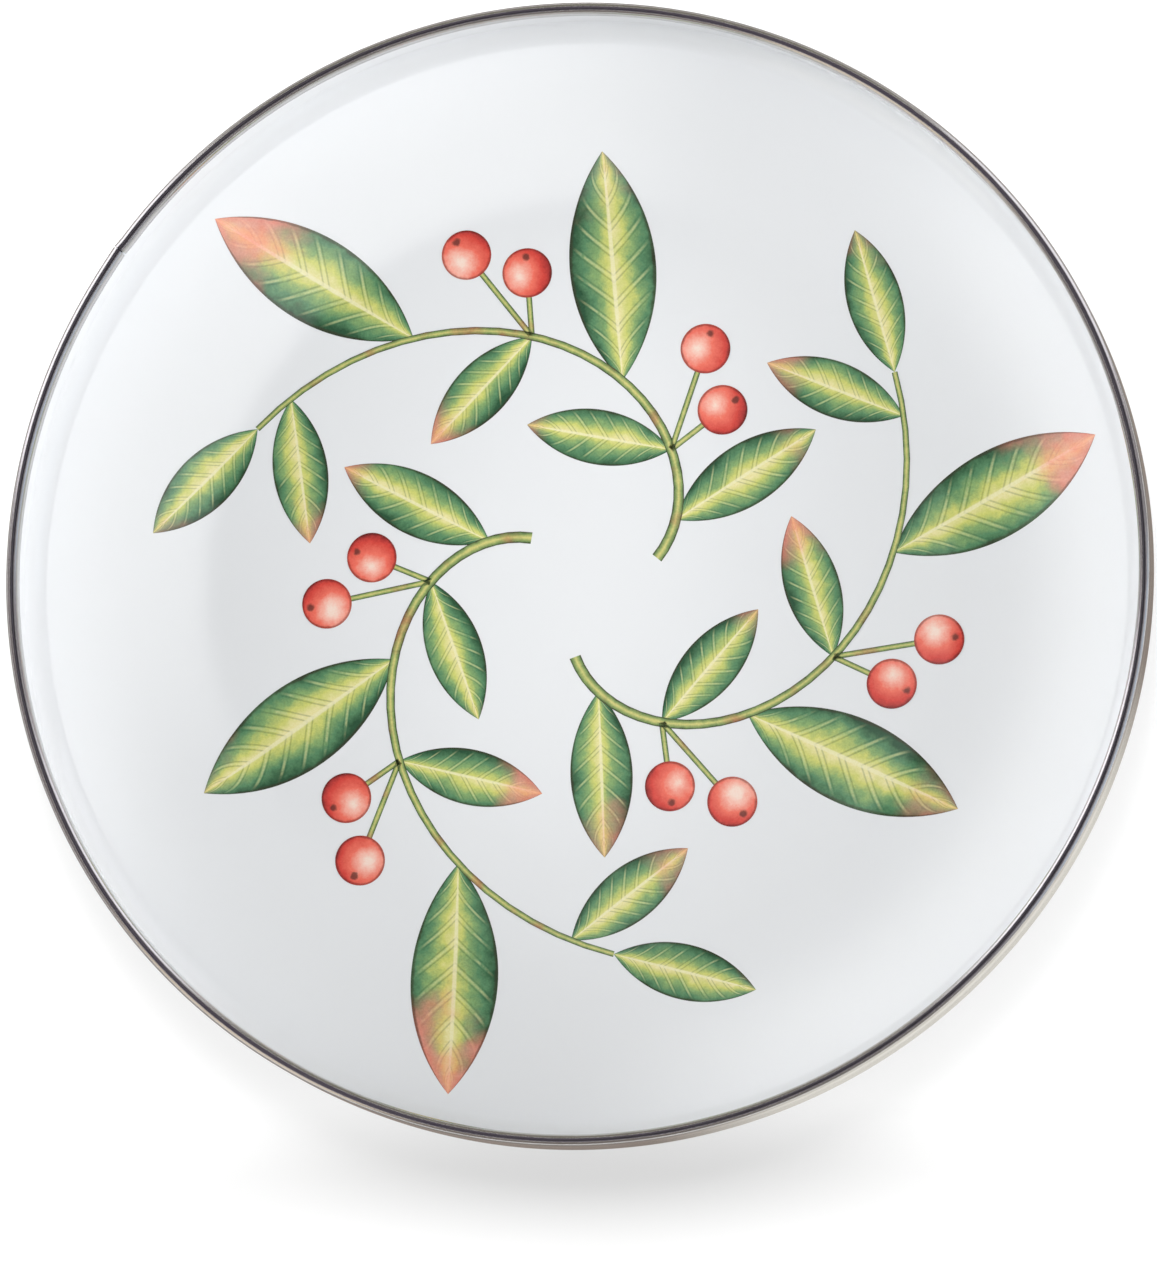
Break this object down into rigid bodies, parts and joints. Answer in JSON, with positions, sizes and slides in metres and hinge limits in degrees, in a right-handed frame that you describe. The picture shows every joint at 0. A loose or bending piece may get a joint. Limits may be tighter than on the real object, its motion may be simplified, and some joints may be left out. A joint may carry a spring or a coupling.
{
  "type": "enamel sandwich plate",
  "caption": "Round pressed-steel plate with glossy white enamel, sloped border, upturned lip with a crimped steel rim band and a fired-on leaf and berry print",
  "frame": {"origin": "centre of the flat underside, on the plane the plate rests on", "axes": "+Z is the plate's axis and points up out of its face; +X is to the right and +Y to the top of the picture, so the band's butt seam lies at the upper left"},
  "size_m": [0.216, 0.216, 0.0221],
  "materials": {
    "sheet_steel": "cold-rolled sheet, pickled",
    "ground_enamel": "fired ground coat",
    "white_enamel": "gloss white vitreous enamel",
    "rim_steel": "bright rolled stainless strip",
    "stem_colour": "gloss fired print",
    "leaf_colour": "gloss fired print",
    "berry_colour": "gloss fired print"
  },
  "bodies": {
    "root": {"steel_blank": "sheet_steel", "ground_coat_face": "ground_enamel", "ground_coat_back": "ground_enamel", "white_coat_face": "white_enamel", "white_coat_back": "white_enamel", "rim_band": "rim_steel", "stem_print_1": "stem_colour", "leaf_print_1": "leaf_colour", "berry_print_1": "berry_colour", "stem_print_2": "stem_colour", "leaf_print_2": "leaf_colour", "berry_print_2": "berry_colour", "stem_print_3": "stem_colour", "leaf_print_3": "leaf_colour", "berry_print_3": "berry_colour"}
  },
  "joints": []
}
